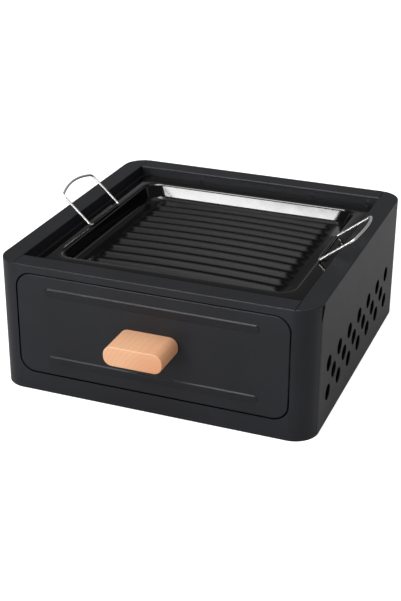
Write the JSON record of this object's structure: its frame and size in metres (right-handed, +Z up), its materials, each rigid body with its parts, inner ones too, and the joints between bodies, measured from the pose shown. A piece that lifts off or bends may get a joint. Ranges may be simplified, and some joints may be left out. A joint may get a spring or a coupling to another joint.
{
  "type": "tabletop charcoal grill",
  "caption": "Square tabletop charcoal grill with a ribbed pan sunk in its top, wire bails, side vents and a drawer for the fire.",
  "frame": {"origin": "middle of the housing's footprint, at table level", "axes": "+Z up, -Y towards the front where the drawer opens, +X to the right seen from the front"},
  "size_m": [0.3215, 0.362, 0.1586],
  "materials": {
    "housing_coat": "satin black heat-resistant coat",
    "inner_steel": "matt dark coat",
    "pan_enamel": "gloss black enamel",
    "wire_steel": "bright drawn wire",
    "rivet_steel": "dull zinc",
    "knob_wood": "sanded, unvarnished beech"
  },
  "bodies": {
    "housing": {"front_panel": "housing_coat", "back_panel": "housing_coat", "left_side_panel": "housing_coat", "right_side_panel": "housing_coat", "base_plate": "inner_steel", "ledge_frame": "housing_coat", "ledge_rivets": "rivet_steel", "front_left_seam_strap": "housing_coat", "front_right_seam_strap": "housing_coat", "back_left_seam_strap": "housing_coat", "back_right_seam_strap": "housing_coat", "heat_shield": "inner_steel", "left_runner": "inner_steel", "right_runner": "inner_steel", "runner_rivets": "rivet_steel"},
    "drawer": {"drawer_front": "housing_coat", "drawer_tray": "inner_steel", "knob": "knob_wood", "knob_screws": "rivet_steel", "knob_washers": "rivet_steel", "fire_tray": "inner_steel", "charcoal_grate": "wire_steel", "grate_legs": "wire_steel"},
    "pan": {"grill_pan": "pan_enamel", "left_bail_clip": "pan_enamel", "right_bail_clip": "pan_enamel"},
    "left_bail": {"left_bail": "wire_steel"},
    "right_bail": {"right_bail": "wire_steel"}
  },
  "joints": [
    {"name": "drawer_slide", "type": "slide", "parent": "housing", "child": "drawer", "axis": [0, -1, 0], "range_m": [0, 0.2]},
    {"name": "pan_lift", "type": "slide", "parent": "housing", "child": "pan", "axis": [0, 0, 1], "range_m": [0, 0.1]},
    {"name": "left_bail_hinge", "type": "hinge", "parent": "pan", "child": "left_bail", "pos_m": [-0.122, 0.00465, 0.12431], "axis": [0, 1, 0], "range_deg": [-13, 131]},
    {"name": "right_bail_hinge", "type": "hinge", "parent": "pan", "child": "right_bail", "pos_m": [0.122, 0.00465, 0.12431], "axis": [0, -1, 0], "range_deg": [-8, 136]}
  ]
}
